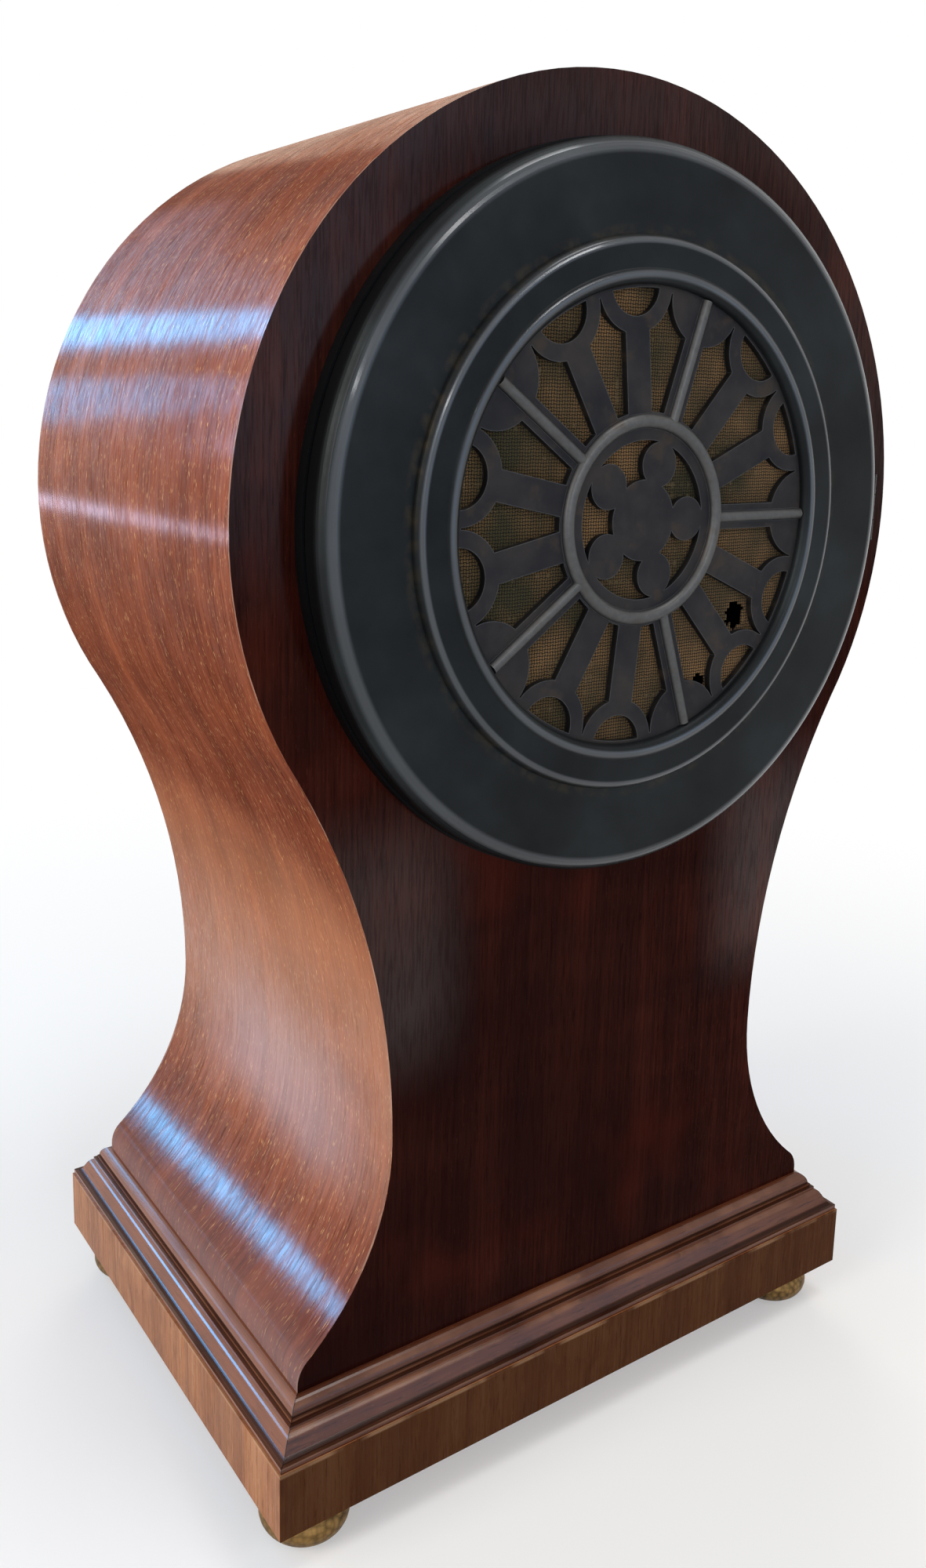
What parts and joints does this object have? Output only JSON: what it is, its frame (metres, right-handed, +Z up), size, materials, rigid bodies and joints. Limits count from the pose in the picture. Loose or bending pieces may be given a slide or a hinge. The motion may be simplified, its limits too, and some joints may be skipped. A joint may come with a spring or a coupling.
{
  "type": "balloon clock",
  "caption": "Waisted mahogany balloon mantel clock on a moulded plinth with bun feet, a hinged pierced rear sound door, a glazed front bezel and a striking pendulum movement.",
  "frame": {"origin": "centre of the clock's footprint on the surface it stands on", "axes": "+Z up, the dial faces -Y and the rear door faces +Y"},
  "size_m": [0.18, 0.1334, 0.3067],
  "materials": {
    "mahogany": "French polished",
    "dark_mahogany": "French polished, aged dark",
    "boxwood": "polished inlay",
    "foot_brass": "aged, stippled",
    "bronzed_brass": "bronze patina, satin",
    "bezel_brass": "lacquered",
    "glass": "clear",
    "enamel": "white enamel",
    "cloth": "coarse woven sound cloth",
    "movement_brass": "polished",
    "steel": "bright steel",
    "blued_steel": "blued"
  },
  "bodies": {
    "case": {"case_hood": "mahogany", "case_side_left": "mahogany", "case_side_right": "mahogany", "case_front_board": "mahogany", "case_back_board": "dark_mahogany", "front_stringing": "boxwood", "plinth_block": "mahogany", "plinth_moulding": "mahogany", "foot_front_left": "foot_brass", "foot_front_right": "foot_brass", "foot_back_left": "foot_brass", "foot_back_right": "foot_brass", "rear_bezel_ring": "bronzed_brass", "front_bezel_ring": "bezel_brass", "bezel_screws": "bezel_brass", "movement_straps": "steel", "strap_screws": "steel", "dial": "enamel", "dial_feet": "movement_brass", "front_plate": "movement_brass", "back_plate": "movement_brass", "pillars": "movement_brass", "movement_screws": "steel", "back_cock": "movement_brass", "bell_stand": "movement_brass", "bell": "movement_brass", "rear_hinge_pin": "steel", "front_hinge_pin": "steel"},
    "rear_door": {"rear_door_dish": "bronzed_brass", "rear_door_fret": "bronzed_brass", "rear_door_cloth": "cloth", "cloth_ring": "bezel_brass"},
    "front_door": {"front_bezel_door": "bezel_brass", "front_glass": "glass", "sight_ring": "bezel_brass"},
    "centre_arbor": {"centre_wheel": "movement_brass", "cannon_pinion": "movement_brass", "minute_hand": "blued_steel"},
    "motion_wheel": {"minute_wheel": "movement_brass"},
    "hour_pipe": {"hour_wheel": "movement_brass", "hour_hand": "blued_steel"},
    "third_arbor": {"third_wheel": "movement_brass"},
    "escape_arbor": {"escape_wheel": "movement_brass"},
    "going_drum": {"going_barrel": "movement_brass", "going_mainspring": "steel"},
    "going_winder": {"going_winding_arbor": "steel"},
    "going_pawl": {"going_click": "steel"},
    "pallets": {"anchor": "steel"},
    "pendulum": {"suspension_spring": "steel", "pendulum_rod": "steel", "pendulum_bob": "movement_brass", "rating_nut": "movement_brass"},
    "strike_drum": {"strike_barrel": "movement_brass", "strike_mainspring": "steel"},
    "strike_winder": {"strike_winding_arbor": "steel"},
    "strike_pawl": {"strike_click": "steel"},
    "strike_second_arbor": {"strike_second_wheel": "movement_brass"},
    "pin_arbor": {"pin_wheel": "movement_brass"},
    "fly_arbor": {"fly": "movement_brass"},
    "strike_hammer": {"hammer": "steel"}
  },
  "joints": [
    {"name": "rear_door_hinge", "type": "hinge", "parent": "case", "child": "rear_door", "pos_m": [-0.0796, 0.0577, 0.21671], "axis": [0, 0, 1], "range_deg": [0, 110]},
    {"name": "front_bezel_hinge", "type": "hinge", "parent": "case", "child": "front_door", "pos_m": [0.0647, -0.0577, 0.21671], "axis": [0, 0, 1], "range_deg": [0, 110]},
    {"name": "minute_turn", "type": "hinge", "parent": "case", "child": "centre_arbor", "pos_m": [0, -0.0237, 0.21671], "axis": [0, 1, 0], "continuous": true},
    {"name": "motion_wheel_turn", "type": "hinge", "parent": "case", "child": "motion_wheel", "pos_m": [0, -0.0237, 0.23071], "axis": [0, 1, 0], "continuous": true},
    {"name": "hour_turn", "type": "hinge", "parent": "case", "child": "hour_pipe", "pos_m": [0, -0.0237, 0.21671], "axis": [0, 1, 0], "continuous": true},
    {"name": "third_turn", "type": "hinge", "parent": "case", "child": "third_arbor", "pos_m": [0.0094, -0.0237, 0.23012], "axis": [0, 1, 0], "continuous": true},
    {"name": "escape_turn", "type": "hinge", "parent": "case", "child": "escape_arbor", "pos_m": [0, -0.0237, 0.23654], "axis": [0, 1, 0], "continuous": true},
    {"name": "going_barrel_turn", "type": "hinge", "parent": "case", "child": "going_drum", "pos_m": [0.01958, -0.0237, 0.20758], "axis": [0, 1, 0], "continuous": true},
    {"name": "going_wind", "type": "hinge", "parent": "case", "child": "going_winder", "pos_m": [0.01958, -0.0237, 0.20758], "axis": [0, 1, 0], "continuous": true},
    {"name": "going_click_lift", "type": "hinge", "parent": "case", "child": "going_pawl", "pos_m": [0.02518, -0.0467, 0.19788], "axis": [0, 1, 0], "range_deg": [0, 15], "stiffness_Nm_per_rad": 0.002},
    {"name": "pendulum_swing", "type": "hinge", "parent": "case", "child": "pendulum", "pos_m": [0, -0.0237, 0.24894], "axis": [0, 1, 0], "range_deg": [-4, 4]},
    {"name": "pallet_swing", "type": "hinge", "parent": "case", "child": "pallets", "pos_m": [0, -0.0237, 0.24894], "axis": [0, 1, 0], "range_deg": [-4, 4]},
    {"name": "strike_barrel_turn", "type": "hinge", "parent": "case", "child": "strike_drum", "pos_m": [-0.01958, -0.0237, 0.20758], "axis": [0, 1, 0], "continuous": true},
    {"name": "strike_wind", "type": "hinge", "parent": "case", "child": "strike_winder", "pos_m": [-0.01958, -0.0237, 0.20758], "axis": [0, 1, 0], "continuous": true},
    {"name": "strike_click_lift", "type": "hinge", "parent": "case", "child": "strike_pawl", "pos_m": [-0.02518, -0.0467, 0.19788], "axis": [0, -1, 0], "range_deg": [0, 15], "stiffness_Nm_per_rad": 0.002},
    {"name": "strike_second_turn", "type": "hinge", "parent": "case", "child": "strike_second_arbor", "pos_m": [-0.01362, -0.0237, 0.22834], "axis": [0, 1, 0], "continuous": true},
    {"name": "pin_wheel_turn", "type": "hinge", "parent": "case", "child": "pin_arbor", "pos_m": [-0.02208, -0.0237, 0.23569], "axis": [0, 1, 0], "continuous": true},
    {"name": "fly_turn", "type": "hinge", "parent": "case", "child": "fly_arbor", "pos_m": [-0.01633, -0.0237, 0.24229], "axis": [0, 1, 0], "continuous": true},
    {"name": "hammer_lift", "type": "hinge", "parent": "case", "child": "strike_hammer", "pos_m": [-0.035, -0.0237, 0.23271], "axis": [0, 1, 0], "range_deg": [0, 15], "stiffness_Nm_per_rad": 0.02, "springref_deg": -5.73}
  ],
  "couplings": [
    {"joint": "motion_wheel_turn", "follows": "minute_turn", "ratio": -0.33333},
    {"joint": "hour_turn", "follows": "minute_turn", "ratio": 0.083333},
    {"joint": "third_turn", "follows": "minute_turn", "ratio": -12},
    {"joint": "escape_turn", "follows": "minute_turn", "ratio": 144},
    {"joint": "going_barrel_turn", "follows": "minute_turn", "ratio": -0.14286},
    {"joint": "pallet_swing", "follows": "pendulum_swing", "ratio": 1},
    {"joint": "strike_second_turn", "follows": "strike_barrel_turn", "ratio": -7},
    {"joint": "pin_wheel_turn", "follows": "strike_barrel_turn", "ratio": 63},
    {"joint": "fly_turn", "follows": "strike_barrel_turn", "ratio": -567}
  ]
}
